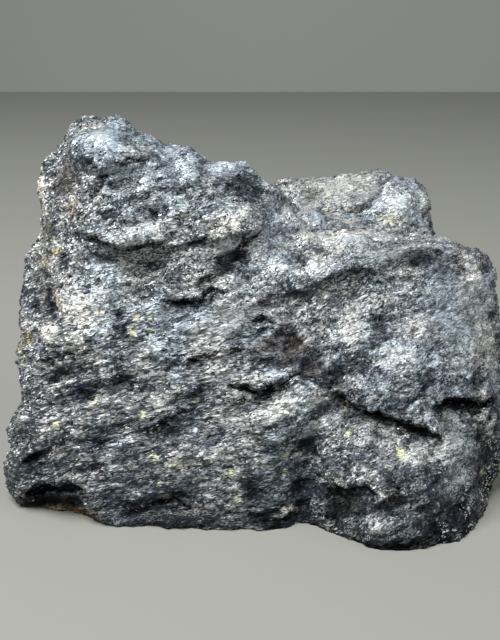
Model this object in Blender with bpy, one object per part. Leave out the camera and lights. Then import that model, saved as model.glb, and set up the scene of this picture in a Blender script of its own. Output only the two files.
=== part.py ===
"""A hand specimen of massive siegenite, a steel-grey cobalt and nickel ore, standing on its broken base.

The stone is one solid. Its broad front is set out as a rock face is surveyed: break lines along the ridges
and ledges, and spot depths between them, joined by the triangles that lie between. The far side is set out
in the same way from the same outline, and four blocks that stand out behind are joined to it. The whole
is then roughened along its grain, thinned to few faces, and cut flat where it rests.

Survey points are (across, up, depth) in millimetres: across and up on the plane of the front, from the
middle of its foot, and depth into the stone. They are sighted from one point in front of the face, so what
lies deeper is wider apart in proportion.
"""

import math

import bmesh
import bpy
from mathutils import Matrix, Vector, noise
from mathutils.geometry import delaunay_2d_cdt

MM = 0.001
FACE_LEAN = math.radians(20)  # the front leans back this far from upright
SIGHT_REACH = 164.0  # the sighting point is this far in front of the face, in mm
SIGHT_RISE = 33.95  # and this far up the face from its foot, in mm

EVEN_EDGE = 0.6 * MM  # the joined stone is meshed this finely all over, then thinned
THINNED_TO = 9400  # triangles, before the foot is cut
GRAIN_RISE = math.radians(12)  # the grain rises to the right
GRAIN_DIP = math.radians(28)  # and dips away behind the face
GRAIN_SIZE = Vector((11, 7, 2.3)) * MM  # length, breadth and thickness of its lenses
GRAIN_WANDER = 9 * MM  # the lenses bend over this distance
GRAIN_SEED = 7
LUMP_SIZE = 11 * MM
CHIP_SIZE = 6.5 * MM
FRONT_RELIEF = {"grain": 0.38 * MM, "lump": 0.30 * MM, "chip": 0.35 * MM}
BACK_RELIEF = {"grain": 0.45 * MM, "lump": 1.10 * MM, "chip": 1.10 * MM}
FRONT_ENDS = 12 * MM  # the front's relief gives way to the back's between these depths
BACK_BEGINS = 30 * MM
FOOT_BLEND = 2.5 * MM  # relief fades out over this height above the resting plane

# The edge that the front and the back share, clockwise from the lower left corner.
OUTLINE = [
    (-37.1, 2.6, 4.5), (-39, 4.8, 7), (-40.5, 8.4, 7.5), (-40.5, 10, 7), (-39.5, 13.1, 6.5),
    (-39.9, 15.7, 7), (-39.5, 18.2, 7), (-37.9, 20, 6.5), (-37.4, 21.5, 6.5), (-38.2, 24.6, 7),
    (-38.4, 26.6, 7.5), (-39, 28.5, 8), (-37.9, 31.7, 8.5), (-37.6, 36.4, 8.5), (-37.2, 40, 8.5),
    (-36.4, 44.4, 8.5), (-35.1, 47.2, 9), (-34.4, 51, 9), (-34.4, 56.9, 9), (-33.8, 60.5, 9.5),
    (-32.3, 62.3, 10), (-30.8, 64.6, 10.5), (-29.5, 66.6, 10.5), (-28.2, 67.4, 9), (-25.9, 67.6, 8),
    (-23.9, 67.1, 7.5), (-21.2, 66.3, 7), (-18.5, 64.9, 6.5), (-16.1, 63.5, 6), (-12.1, 62.5, 6),
    (-9.8, 62, 6), (-6.9, 60.4, 5.5), (-3.4, 60.2, 5.5), (-0.2, 58.4, 6), (1.8, 57.1, 6.6),
    (4.1, 54.9, 7.8), (7.2, 52.5, 10), (11.2, 52.5, 16), (15.6, 52.2, 18), (20.3, 51.5, 18),
    (22, 49.5, 16), (25.4, 48.1, 13), (29, 47.7, 9), (31.2, 48.1, 8), (33.6, 46.7, 8),
    (36.4, 45.8, 8.5), (38.7, 44.1, 9), (39.9, 42.1, 9.5), (40.7, 38.9, 9.5), (41.3, 33.9, 9.5),
    (41.7, 27.4, 9), (41.5, 20.8, 8.5), (41.7, 15.9, 8.5), (41.5, 11, 9), (40.7, 7.7, 10),
    (39.9, 4.9, 9), (38.7, 2.6, 5), (37.1, 0, 0), (35.6, -1.3, -2.2), (33.5, -3, -4.6),
    (31, -3.3, -5.2), (29, -3.9, -6.4), (24.6, -4.3, -6.8), (20, -3.8, -6), (15.4, -2, -3.2),
    (11.5, -0.3, -0.5), (9.7, 0.5, 0.8), (8.7, 0.5, 1), (7.7, 0.5, 0.8), (6.6, -0.5, -0.7),
    (2, -0.8, -1.3), (-1.6, -0.5, -0.8), (-6.7, -0.7, -1), (-12.3, -0.2, -0.3), (-16.9, 0.2, 0.2),
    (-22.3, 0, 0), (-23.6, 0.3, 0.5), (-25.9, 1.3, 2.3), (-29.7, 2.5, 4.4), (-33.6, 2.5, 4.5),
]

# Ridges, hollows, and the lips and feet of ledges on the front and the top.
FRONT_LINES = {
    "peak_ridge": [(-28.2, 67.4, 9), (-27.2, 65.1, 3), (-27.9, 62.2, 0.5), (-27.2, 60.5, -0.5)],
    "peak_lip": [(-27.2, 60.5, -0.5), (-24.6, 59.9, -1.2), (-21.3, 60.2, -1.4), (-18.7, 60.2, -1),
        (-17.2, 61, -0.2)],
    "peak_foot": [(-26.9, 59, 2), (-24.1, 58.4, 2.2), (-21, 59, 1.8), (-18, 59.4, 1.2),
        (-16.4, 60.5, 0.6)],
    "left_crease_top": [(-29.2, 63.5, 3), (-29.8, 60.2, 3.5), (-28.5, 57.2, 2.5), (-27.9, 53.6, 2),
        (-29.2, 49.4, 1.8)],
    "left_crease_low": [(-30.2, 43.5, 1.5), (-31.2, 40.2, 1), (-31.2, 35.6, 0.4), (-31.5, 32.3, 0.8),
        (-33.5, 29.4, 1.2), (-35.1, 25.4, 2), (-36.4, 21.2, 2.5), (-37.4, 15.9, 2.8), (-38, 11.3, 3),
        (-37.7, 7.7, 3.2)],
    "bulge_lip": [(-27.9, 47.1, 0.8), (-25.9, 47.7, -1), (-23.6, 47.4, -2.2), (-21, 46.6, -2.8),
        (-18, 46.2, -2.4), (-14.8, 46.2, -1.6), (-11.5, 46.9, -1.2), (-8.5, 46.6, -1),
        (-6.2, 47.4, -1.2), (-3, 47.9, -1.6), (-0.7, 48.9, -1.6), (1.3, 49.7, -0.4)],
    "bulge_foot": [(-28.9, 44.4, 1.6), (-25.9, 44.3, 2.2), (-22.6, 44, 2), (-19.7, 44.1, 1.4),
        (-16.4, 44.8, 0.8), (-13.8, 45.4, 0.2), (-10.8, 45.9, 0), (-8.2, 45.6, 0.2)],
    "hollow": [(-5.9, 45.1, 0.6), (-2.3, 46.1, 1.4), (1, 47.4, 1.6)],
    "hollow_floor": [(-5.6, 42.5, 1), (-2.6, 42.5, 2.2), (-0.3, 44.1, 2.4), (2, 46.1, 2.4)],
    "step_lip": [(-11.8, 39.2, -1), (-8.5, 39.9, -1.3), (-5.6, 41, -1), (-3, 41.5, 0.2)],
    "step_foot": [(-11.5, 38.5, -0.2), (-8.4, 39.2, -0.1), (-5.2, 40.2, 0.2)],
    "crack_lip": [(-14.3, 37.1, -0.8), (-12.1, 36.9, -1.3), (-10.2, 36.7, -1.5), (-8.4, 36.9, -1.5),
        (-6.9, 38, -1.5), (-4.9, 38.9, -1.2), (-3.3, 38.9, -0.6)],
    "crack_foot": [(-12.1, 36.4, 0.2), (-10.2, 36.1, 0.5), (-8.2, 36.2, 0.5), (-6.6, 37.4, 0.4),
        (-4.8, 38.2, 0.2)],
    "notch_lip": [(-1.6, 21.5, -1.6), (0, 21.8, -2.6), (2, 22.1, -3.2), (4.1, 23.3, -3.4),
        (6.2, 24.4, -3.2), (8.2, 24.9, -2.4)],
    "notch_foot": [(-1.1, 20.7, -0.2), (0.8, 20.7, -0.1), (2.8, 21.4, -0.4), (4.9, 22.7, -0.8),
        (6.9, 23.9, -1.2)],
    "spur_crest": [(8.2, 23.9, -2.6), (10.5, 23.8, -2.8), (12.5, 22.6, -2.6), (13.4, 21, -2)],
    "slab_lip": [(10.8, 24.4, -1), (13.1, 23.1, -1.6), (15.4, 21.3, -2.4), (17.7, 19.5, -3),
        (20, 18.2, -3.6), (22.6, 17.4, -4), (24.9, 16.4, -4.2), (27.6, 15.6, -4.2), (29.8, 15.1, -4)],
    "slab_foot": [(12.8, 22.4, -0.6), (15, 20.5, -0.7), (17.4, 18.7, -0.9), (19.7, 17.3, -1.2),
        (22.3, 16.5, -1.6), (24.7, 15.5, -2), (27.5, 14.7, -2.2), (30.3, 14.2, -2.2)],
    "tongue_lip": [(29.8, 15.1, -4), (30.5, 16.9, -3.6), (30.8, 18.9, -3.2), (30.8, 20.7, -2.8)],
    "tongue_foot": [(30.3, 14.2, -2.2), (31.3, 16.2, -1.6), (31.7, 18.2, -1)],
    "ledge_lip": [(30.8, 20.7, -2.8), (32.8, 21.2, -2.6), (34.8, 21.3, -2.2), (37.1, 21.3, -1.4),
        (39, 21, 0.2)],
    "ledge_foot": [(31.8, 19.6, 0.8), (33.5, 20.2, 1.2), (35.1, 20.3, 1.4), (36.8, 19.6, 1.4),
        (38.4, 19.4, 2)],
    "pocket": [(34.4, 18.9, 0.2), (36.7, 17.5, 0), (39, 18.5, 1.6)],
    "brow_lip": [(5.6, 37.6, 0.4), (8.2, 38.5, -0.4), (11.2, 40, -0.8), (13.8, 41.7, -1),
        (16.1, 42.8, -1), (18.4, 43.1, -0.6), (21, 42.1, 0)],
    "brow_foot": [(8.2, 37.2, 1.4), (11.5, 38.2, 1.6), (14.4, 39.5, 1.8), (16.7, 40.7, 2),
        (19.4, 40.8, 1.6)],
    "right_crest": [(21, 44.1, 0), (24.6, 45.1, 0.6), (28.5, 46.1, 1.4), (32.5, 45.8, 2.4),
        (35.8, 44.1, 3.4), (37.7, 41.8, 4)],
    "top_floor": [(5.9, 50, 6), (3.6, 47.1, 3.6), (2, 46.1, 2.4)],
    "top_mid": [(9.2, 47.7, 5.5), (14.1, 47.4, 6.5), (19, 47.1, 6.5), (23.9, 46.7, 5.5)],
    "top_near": [(4.9, 42.8, 1.6), (9.2, 43.5, 2), (13.4, 44.8, 2.2), (18, 45.4, 2.4)],
    "left_block_edge": [(-3.4, 60.2, 5.5), (-2.6, 56.3, 1.8), (-1, 53.6, 1), (1.3, 49.7, -0.4)],
    "valley": [(11.5, 17.9, -0.7), (10.5, 14.3, 0.4), (10, 10.7, 1.1), (9.9, 6.6, 1.4),
        (9.2, 3.1, 1.2), (8.7, 0.5, 1)],
    "valley_left": [(5.9, 18, -3.5), (4.1, 13.5, -3), (3, 8.4, -2.4), (3.2, 4.1, -1.6),
        (4.4, 1.1, -1)],
    "valley_slope": [(8.7, 17.4, -2.3), (7.4, 13.3, -1.1), (6.7, 8.4, -0.5), (6.6, 4.1, -0.1)],
    "valley_step": [(12.6, 15.6, -1.2), (11.8, 12, -0.9), (11.6, 9.2, -1), (11.7, 6.9, -1.4)],
    "bulge_low": [(11.7, 6.9, -1.4), (14.1, 6.8, -3.6), (17.1, 6.9, -5.4), (20.7, 7, -7),
        (24.9, 6.4, -8.2), (28.9, 6.4, -7.4), (31.8, 7.7, -5.4)],
    "bulge_hollow": [(12.6, 4.9, -0.8), (15.1, 4.3, -2.6), (17.7, 3.6, -4.2)],
    "low_right_upper": [(15.6, 14.3, -1.6), (19.7, 13, -2.8), (24.6, 12.3, -3.4), (29.5, 11.6, -3.4),
        (33.1, 12.3, -2.6)],
    "right_flank_edge": [(39.7, 17.5, 3), (37.7, 14.6, 1.8), (36.7, 11.6, 0.6), (35.8, 8.4, -1),
        (34.1, 4.8, -3), (32.5, 2.1, -4.4), (30.8, -0.5, -5.2)],
    "flank_low": [(39.7, 14.3, 5), (38.7, 10, 4), (37.4, 6.1, 2.2), (35.4, 2.5, -0.8)],
    "undercut_lip": [(-37.1, 5.1, 2.6), (-34.4, 5.9, 0.4), (-31.5, 6.4, -0.4), (-28.2, 6.9, -0.8)],
    "undercut_mid": [(-35.8, 3.6, 5.4), (-31.8, 3.6, 5.2), (-28.5, 3.3, 4.4), (-26.6, 2.6, 3.4)],
    "toe_edge": [(-28.2, 6.9, -0.8), (-27.1, 4.9, -0.9), (-25.7, 3.1, -0.8), (-24.6, 1.5, -0.4),
        (-23.6, 0.3, 0.5)],
}

# Spot depths between those lines.
FRONT_SPOTS = {
    "peak_face": [(-23.9, 64.1, 1.4), (-20, 62.8, 1.2), (-21.6, 65.1, 4), (-31.8, 58.5, 6),
        (-32.8, 53.6, 6.2), (-33.5, 48.4, 6), (-33.8, 43.5, 5.2), (-34.8, 38.5, 5), (-35.1, 33.6, 5),
        (-36.1, 29, 5.2), (-37.4, 25.4, 5.4)],
    "upper_face": [(-23, 55.3, 0.9), (-17.2, 55.3, 0.2), (-12.3, 57.7, 0.8), (-7.4, 57.2, 1),
        (-11.5, 52.8, -0.4), (-5.7, 53.6, -0.8), (-21.3, 50, -1.8), (-16.4, 49.4, -1.4),
        (-14.8, 60.5, 2.4), (-9, 59.9, 2.2), (-4.1, 56.9, 1.4)],
    "middle_face": [(-26.2, 41.3, 0.6), (-20.5, 40.5, 0.2), (-25.4, 36.4, -0.4), (-18, 37.2, -0.2),
        (-27.9, 32.3, -0.2), (-22.1, 31.5, -0.6), (-16.4, 31.5, -0.8), (-10.7, 32.3, -0.9),
        (-5.7, 33.9, -0.8), (-0.8, 35.3, -0.6), (-1.6, 38.9, 0.4), (2, 38.9, 0.6), (-29.5, 27.4, 0.6),
        (-23.8, 26.6, -0.6), (-17.2, 25.7, -1), (-10.7, 26.6, -1), (-4.9, 28.2, -1.4), (0, 29, -1.8),
        (-8.2, 42.8, 0), (-14.8, 41.3, -0.4)],
    "lower_face": [(-32.8, 20.8, 0.6), (-27.1, 20.8, -0.7), (-20.5, 20, -1.2), (-13.9, 20, -1.4),
        (-7.4, 20.8, -1.4), (-4.1, 17.5, -1.8), (-33.6, 14.3, 0.6), (-27.9, 13.4, -1),
        (-21.3, 13.4, -1.6), (-13.9, 12.6, -2), (-6.6, 12.6, -2.4), (0, 13.4, -2.8),
        (-31.2, 9.3, -0.4), (-23, 7.7, -1.6), (-15.6, 6.9, -1.8), (-8.2, 6.1, -2), (-1.6, 6.1, -2.2),
        (-19.7, 3.1, -0.9), (-11.5, 2.5, -1.2), (-3.3, 2.5, -1.5), (0.8, 3.3, -1.6)],
    "centre": [(3.6, 33.6, 0.2), (8.2, 34.3, 0.8), (3.3, 29.8, -0.9), (8.2, 29.8, 0.3),
        (12.8, 29, 0.8), (3, 26.1, -2.6), (6.6, 27.1, -1.8), (11.2, 26.4, 0.2), (14.8, 25.4, -0.4)],
    "slab": [(13.1, 35.6, 0.6), (18, 37.2, 0.9), (23.8, 39.7, 0.8), (29.5, 40.5, 0.8),
        (34.4, 38.9, 1.6), (18, 32.3, -0.6), (23.8, 33.9, -0.4), (29.5, 34.8, -0.1), (35.3, 33.1, 1.2),
        (21.3, 28.2, -1.8), (26.2, 29, -1.6), (31.2, 29, -1), (36.1, 28.2, 0.6), (18, 24.1, -2),
        (23, 23.3, -3.2), (27.1, 22.5, -3.2), (31.2, 24.4, -2.4), (35.3, 24.4, -1.2), (24.6, 19.5, -4),
        (27.9, 18.9, -4), (16.4, 28.7, -0.4)],
    "right_side": [(39.7, 37.2, 5.5), (39, 30.7, 4.4), (39.4, 24.9, 4.6), (40, 20, 5)],
    "low_right": [(17.2, 16.7, -1), (23, 14.6, -1.6), (27.9, 13.3, -2.4), (32, 15.6, -2),
        (34.8, 14.9, -1.2), (32.8, 9.3, -4.2), (34.8, 11.6, -2.2), (19.7, 0.8, -5.6), (24.6, 1.6, -7.2),
        (28.7, 1.1, -6.8), (13.9, 1.1, -2)],
    "saddle": [(1.8, 18, -3), (-1.5, 16.4, -2.6), (6.6, 21.5, -2.6), (9.8, 20.8, -2.5), (12.1, 20, -1.4)],
}

# Ridges and ledges of the far side, sighted along the same lines.
BACK_LINES = {
    "spine": [(-27.2, 63.5, 16), (-25.9, 55.3, 22), (-24.6, 45.4, 29), (-23.3, 35.6, 36),
        (-22.6, 25.7, 40), (-21.6, 18.9, 40)],
    "back_lip": [(-18, 47.7, 33), (-12.1, 49, 35), (-5.9, 48.4, 37), (0, 46.1, 40)],
    "back_foot": [(-17.7, 45.8, 30.5), (-11.8, 46.7, 31.5), (-5.9, 46.1, 33), (-0.7, 43.8, 37)],
    "cleft": [(0, 53.6, 18), (2, 47.7, 27), (3, 40.5, 35), (2, 32.3, 40), (1, 24.1, 41)],
    "heel_lip": [(-16.4, 28.7, 44.5), (-9.8, 30, 46), (-3.9, 29, 46), (0.3, 27.1, 44)],
    "heel_foot": [(-15.4, 26.1, 41), (-9.5, 27.1, 42), (-4.3, 26.4, 42)],
    "west_ridge": [(-34.4, 42.1, 15), (-33.8, 33.9, 18), (-34.4, 25.7, 18), (-36.1, 17.5, 17),
        (-35.4, 9.3, 14)],
    "east_ridge": [(37.7, 40.5, 14), (39, 30.7, 17), (39, 20.8, 18), (38.7, 12.6, 16),
        (37.7, 6.7, 11)],
}

# Spot depths of the underside, the back and the two ends.
BACK_SPOTS = {
    "underside": [(-31.2, 3.8, 7.6), (-23, 3.6, 8), (-14.8, 3.8, 8.4), (-6.6, 3.6, 8.2),
        (1.6, 3.8, 8.4), (9.8, 3.6, 8), (18, 3.6, 8.2), (26.2, 3.6, 8), (32.8, 3.6, 6.6),
        (-29.5, 9, 20), (-21.3, 8.7, 20), (-11.5, 9, 21), (-1.6, 8.7, 20.5), (8.2, 8.7, 21),
        (18, 8.9, 21), (27.9, 8.7, 20), (34.4, 7.7, 16), (-27.9, 13.3, 31), (-16.4, 13.9, 33),
        (-4.9, 13.6, 33), (8.2, 13.6, 33), (19.7, 13.6, 33), (29.5, 12.6, 29)],
    "heel": [(-26.2, 16.9, 37), (-13.1, 19.2, 42.5), (-3.3, 19.5, 43), (11.5, 19.2, 42),
        (24.6, 18.5, 41), (32.1, 15.6, 34)],
    "back_mid": [(-30.2, 32.3, 30), (-30.2, 24.1, 33), (-16.4, 37.2, 40), (-9.8, 38.9, 40),
        (-3.3, 37.2, 42), (8.2, 32.3, 44), (16.4, 32.3, 46), (24.6, 29, 44), (31.2, 30.7, 38),
        (35.4, 24.1, 31)],
    "back_high": [(-30.5, 53.6, 19), (-30.2, 43.8, 24), (-21.3, 60.2, 17), (-19.7, 53.6, 24),
        (-13.1, 55.3, 25), (-6.6, 53.6, 26), (-13.1, 43.5, 33), (8.2, 42.1, 40), (16.4, 41.3, 40),
        (24.6, 40.5, 37), (31.2, 38.9, 29)],
    "back_top": [(-16.4, 59.9, 15), (-9.8, 58.5, 16), (-3.3, 56.6, 17), (4.6, 50, 22), (11.5, 49, 27),
        (19.7, 48.4, 28), (26.2, 45.4, 22), (32.1, 44.4, 16), (36.1, 43.1, 14), (-31.2, 60.2, 16)],
    "sides": [(-37.1, 29, 13), (-37.1, 37.2, 12), (-37.4, 14.3, 11), (40.7, 33.9, 13),
        (40.7, 14.3, 13), (40.3, 24.1, 13)],
}

# Blocks of ore that stand out behind, each the hull of its own corners.
BLOCKS = {
    "near_knob": [(21, 54.9, 20), (19.8, 51.3, 17), (23.3, 57.2, 21), (26.9, 57.2, 21),
        (28.5, 55.8, 22), (29, 53.6, 23), (29.5, 50.8, 23), (29, 47.4, 19), (22.3, 48.4, 12),
        (24.9, 57.9, 26), (27.9, 56.3, 31), (29.2, 53.8, 33), (23, 57.4, 28), (30.5, 40.5, 24),
        (20, 38.9, 24), (30.5, 32.3, 34), (21.3, 32.3, 40), (25.3, 51.3, 15)],
    "far_knob": [(4.3, 55.8, 34), (6.6, 56.6, 33), (9.2, 57.2, 32), (14.4, 57.1, 31), (18.2, 58.2, 31),
        (21.6, 58.5, 31), (23.8, 57.9, 32), (8.2, 51.7, 27), (16.4, 51.7, 25), (22, 53.6, 28),
        (6.6, 55.3, 42), (13.1, 56.6, 45), (22, 57.2, 44), (24.6, 53.6, 41), (1.3, 37.2, 46),
        (9.8, 38.9, 51), (23.9, 37.2, 49), (4.3, 24.1, 47), (14.8, 24.4, 52), (24.6, 23.8, 48),
        (8.2, 18.5, 38), (21.3, 18.5, 38)],
    "shoulder": [(-16.4, 37.2, 38), (-11.5, 43.5, 38), (-2.3, 47.7, 38), (3.3, 50, 36), (8.2, 50, 30),
        (-14.8, 37.2, 44), (-7.4, 43.5, 46), (0, 47.1, 47), (6.6, 45.4, 50), (-18, 24.1, 41),
        (-16.4, 17.5, 40), (-8.2, 22.5, 49), (3.3, 22.8, 51), (1.6, 17.5, 42), (8.2, 17.5, 40),
        (11.5, 37.2, 50)],
    "wedge": [(24.6, 43.8, 24), (31.2, 43.5, 22), (33.1, 40.5, 28), (27.9, 37.2, 42), (24.6, 37.2, 46),
        (34.1, 30.7, 36), (34.8, 20.8, 34), (27.9, 20.8, 44), (24.6, 16.9, 42), (33.1, 14.3, 32),
        (21.3, 32.3, 46)],
}

def placed(across, up, depth):
    """The place of a survey point: sighted outwards in proportion to its depth, then leant back."""
    spread = 1 + depth / SIGHT_REACH
    height = SIGHT_RISE + (up - SIGHT_RISE) * spread
    back = height * math.sin(FACE_LEAN) + depth * math.cos(FACE_LEAN)
    rise = height * math.cos(FACE_LEAN) - depth * math.sin(FACE_LEAN)
    return Vector((across * spread, back, rise)) * MM


def within(point, outline):
    """Whether a flat point lies inside a closed outline, by counting the sides that a ray meets."""
    crossed = False
    for start, end in zip(outline, outline[1:] + outline[:1]):
        if (start.y > point.y) != (end.y > point.y):
            share = (point.y - start.y) / (end.y - start.y)
            crossed ^= point.x < start.x + share * (end.x - start.x)
    return crossed


def surveyed_side(lines, spots):
    """(places, triangles) of one side: its survey points joined by triangles that keep to the break lines."""
    flat, depths, sides, index = [], [], [], {}

    def number_of(point):
        across, up, depth = point
        if (across, up) not in index:
            index[across, up] = len(flat)
            flat.append(Vector((across, up)))
            depths.append(depth)
        return index[across, up]

    for line in [OUTLINE + OUTLINE[:1], *lines.values()]:
        numbers = [number_of(point) for point in line]
        sides += zip(numbers, numbers[1:])
    for group in spots.values():
        for point in group:
            number_of(point)

    points, _, triangles, sources, _, _ = delaunay_2d_cdt(flat, sides, [], 0, 1e-5, True)
    outline = flat[: len(OUTLINE)]
    inner = [t for t in triangles if within(sum((points[i] for i in t), Vector((0, 0))) / 3, outline)]
    places = [placed(p.x, p.y, depths[source[0]]) for p, source in zip(points, sources)]
    return places, inner


def mesh_object(name, mesh_builder):
    """A new object in the scene that holds the finished bmesh."""
    mesh = bpy.data.meshes.new(name)
    mesh_builder.to_mesh(mesh)
    mesh_builder.free()
    made = bpy.data.objects.new(name, mesh)
    bpy.context.scene.collection.objects.link(made)
    return made


def surveyed_body():
    """The main body: the surveyed front and back, sewn along the outline that they share."""
    body = bmesh.new()
    for lines, spots in ((FRONT_LINES, FRONT_SPOTS), (BACK_LINES, BACK_SPOTS)):
        places, triangles = surveyed_side(lines, spots)
        corners = [body.verts.new(place) for place in places]
        for triangle in triangles:
            body.faces.new([corners[i] for i in triangle])
    bmesh.ops.remove_doubles(body, verts=body.verts[:], dist=0.01 * MM)
    bmesh.ops.recalc_face_normals(body, faces=body.faces[:])
    return mesh_object("main_body", body)


def block(name, corners):
    """A block bounded by flat breaks: the hull of its corners."""
    hull = bmesh.new()
    for corner in corners:
        hull.verts.new(placed(*corner))
    bmesh.ops.convex_hull(hull, input=hull.verts[:])
    bmesh.ops.delete(hull, geom=[v for v in hull.verts if not v.link_faces], context="VERTS")
    bmesh.ops.recalc_face_normals(hull, faces=hull.faces[:])
    return mesh_object(name, hull)


def evaluated_mesh(source):
    """What an object's modifiers make of it, as a mesh builder."""
    graph = bpy.context.evaluated_depsgraph_get()
    found = source.evaluated_get(graph).to_mesh()
    result = bmesh.new()
    result.from_mesh(found)
    source.evaluated_get(graph).to_mesh_clear()
    return result


def joined_stone():
    """The main body and the blocks behind it as one even mesh."""
    body = surveyed_body()
    blocks = [block(name, corners) for name, corners in BLOCKS.items()]
    for piece in blocks:
        join = body.modifiers.new(piece.name, "BOOLEAN")
        join.operation = "UNION"
        join.object = piece
    even = body.modifiers.new("even_mesh", "REMESH")
    even.mode = "VOXEL"
    even.voxel_size = EVEN_EDGE
    stone = evaluated_mesh(body)
    for piece in [body, *blocks]:
        bpy.data.objects.remove(piece)
    return stone


def grain_frame():
    """Turns a place into the grain's own axes, in lens lengths, breadths and thicknesses."""
    turn = Matrix.Rotation(GRAIN_DIP, 3, "X") @ Matrix.Rotation(GRAIN_RISE, 3, "Y")
    return Matrix.Diagonal([1 / size for size in GRAIN_SIZE]) @ turn


def smooth_step(value, low, high):
    share = min(1, max(0, (value - low) / (high - low)))
    return share * share * (3 - 2 * share)


def relief(place, to_grain):
    """How far the broken surface stands out or in at a place, in metres."""
    wander = noise.noise_vector(place / GRAIN_WANDER) * GRAIN_SIZE.z
    along = to_grain @ (place + wander)
    grain = noise.fractal(along, 0.8, 2.1, 4) * (1 + noise.noise(place / LUMP_SIZE))
    lump = noise.fractal(place / LUMP_SIZE, 1.0, 2.2, 3)
    nearest, second = noise.voronoi(place / CHIP_SIZE)[0][:2]
    chip = min(second - nearest, 0.5) - 0.25
    back = smooth_step(place.y, FRONT_ENDS, BACK_BEGINS)
    total = 0
    for name, value in (("grain", grain), ("lump", lump), ("chip", chip)):
        total += value * (FRONT_RELIEF[name] * (1 - back) + BACK_RELIEF[name] * back)
    return total * smooth_step(place.z, 0, FOOT_BLEND)


def roughen(stone):
    """Moves every point of the stone in or out by the relief there."""
    noise.seed_set(GRAIN_SEED)
    to_grain = grain_frame()
    stone.normal_update()
    moves = [point.normal * relief(point.co, to_grain) for point in stone.verts]
    for point, move in zip(stone.verts, moves):
        point.co += move


def thinned(stone):
    """The stone with its flatter parts thinned, so that ledges keep most of the faces."""
    rough = mesh_object("rough_stone", stone)
    rough.data.calc_loop_triangles()
    thin = rough.modifiers.new("thin", "DECIMATE")
    thin.ratio = THINNED_TO / len(rough.data.loop_triangles)
    thin.use_collapse_triangulate = True
    result = evaluated_mesh(rough)
    bpy.data.objects.remove(rough)
    return result


def stand_on_flat(stone):
    """Cuts the stone where it rests and puts the middle of its foot at the origin."""
    everything = stone.verts[:] + stone.edges[:] + stone.faces[:]
    cut = bmesh.ops.bisect_plane(
        stone, geom=everything, dist=1e-7, plane_co=(0, 0, 0), plane_no=(0, 0, 1), clear_inner=True
    )
    rim = [item for item in cut["geom_cut"] if isinstance(item, bmesh.types.BMEdge)]
    bmesh.ops.triangle_fill(stone, edges=rim, use_beauty=True)
    bmesh.ops.triangulate(stone, faces=stone.faces[:])
    bmesh.ops.recalc_face_normals(stone, faces=stone.faces[:])
    spans = [[point.co[axis] for point in stone.verts] for axis in range(3)]
    middle = [(min(span) + max(span)) / 2 for span in spans]
    bmesh.ops.translate(stone, verts=stone.verts[:], vec=(-middle[0], -middle[1], 0))
    return stone


def ore_material():
    """Steel-grey metallic ore."""
    ore = bpy.data.materials.new("siegenite")
    ore.use_nodes = True
    shader = ore.node_tree.nodes["Principled BSDF"]
    shader.inputs["Base Color"].default_value = (0.20, 0.22, 0.24, 1)
    shader.inputs["Metallic"].default_value = 0.7
    shader.inputs["Roughness"].default_value = 0.45
    return ore


def main():
    for leftover in list(bpy.data.objects):
        bpy.data.objects.remove(leftover)
    stone = joined_stone()
    roughen(stone)
    specimen = mesh_object("siegenite", stand_on_flat(thinned(stone)))
    specimen.data.materials.append(ore_material())


main()
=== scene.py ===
"""A hand specimen of massive siegenite ore on a plain table, under soft light from the upper left."""

import math

import bpy
import mathutils
import numpy as np
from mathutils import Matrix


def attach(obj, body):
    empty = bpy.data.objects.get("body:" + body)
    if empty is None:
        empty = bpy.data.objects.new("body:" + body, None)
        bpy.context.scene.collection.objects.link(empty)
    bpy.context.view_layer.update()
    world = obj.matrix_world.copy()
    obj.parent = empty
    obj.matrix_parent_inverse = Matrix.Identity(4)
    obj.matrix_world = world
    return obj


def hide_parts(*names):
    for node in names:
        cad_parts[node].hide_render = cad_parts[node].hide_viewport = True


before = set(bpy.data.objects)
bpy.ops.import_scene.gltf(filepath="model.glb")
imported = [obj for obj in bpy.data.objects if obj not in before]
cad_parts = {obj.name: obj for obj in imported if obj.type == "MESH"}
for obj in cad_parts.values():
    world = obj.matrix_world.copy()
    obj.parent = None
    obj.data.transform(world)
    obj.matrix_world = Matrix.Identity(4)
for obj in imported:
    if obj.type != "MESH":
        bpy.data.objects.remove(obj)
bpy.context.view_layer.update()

# --------------------------------------------------------------------------------------- The stone's body
# One piece of ore, broken off along its foliation: thin lenses of grains that rise to the right and dip away
# behind the face. The solid gives its ledges and blocks, and here its facets are rounded off and its open
# cracks are cut with thin wedges that follow them.

MM = 0.001


def apply_modifiers(piece):
    bpy.context.view_layer.objects.active = piece
    for modifier in piece.modifiers[:]:
        bpy.ops.object.modifier_apply(modifier=modifier.name)


def remesh(piece, edge, rounds):
    """Gives the piece even faces with edges that long in millimetres, and smooths them that many times."""
    even = piece.modifiers.new("even_mesh", "REMESH")
    even.mode = "VOXEL"
    even.voxel_size = edge * MM
    soft = piece.modifiers.new("soften", "SMOOTH")
    soft.factor = 0.5
    soft.iterations = rounds
    apply_modifiers(piece)


bpy.ops.object.select_all(action="DESELECT")
stone = bpy.data.objects.new("stone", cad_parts["siegenite"].data.copy())
bpy.context.scene.collection.objects.link(stone)
bpy.context.view_layer.objects.active = stone
stone.select_set(True)
bpy.ops.object.mode_set(mode="EDIT")
bpy.ops.mesh.select_all(action="SELECT")
bpy.ops.mesh.remove_doubles(threshold=0.002 * MM)
bpy.ops.mesh.select_all(action="DESELECT")
bpy.ops.object.mode_set(mode="OBJECT")

# The foot reaches lower until the stone is finished, so that it can then be cut flat.
SPARE_FOOT = 1.5  # mm
FOOT_LEVEL = 0.01  # mm, under which every point belongs to the foot
for point in stone.data.vertices:
    point.select = point.co.z < FOOT_LEVEL * MM
bpy.ops.object.mode_set(mode="EDIT")
bpy.ops.transform.translate(value=(0, 0, -SPARE_FOOT * MM))
bpy.ops.object.mode_set(mode="OBJECT")

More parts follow.
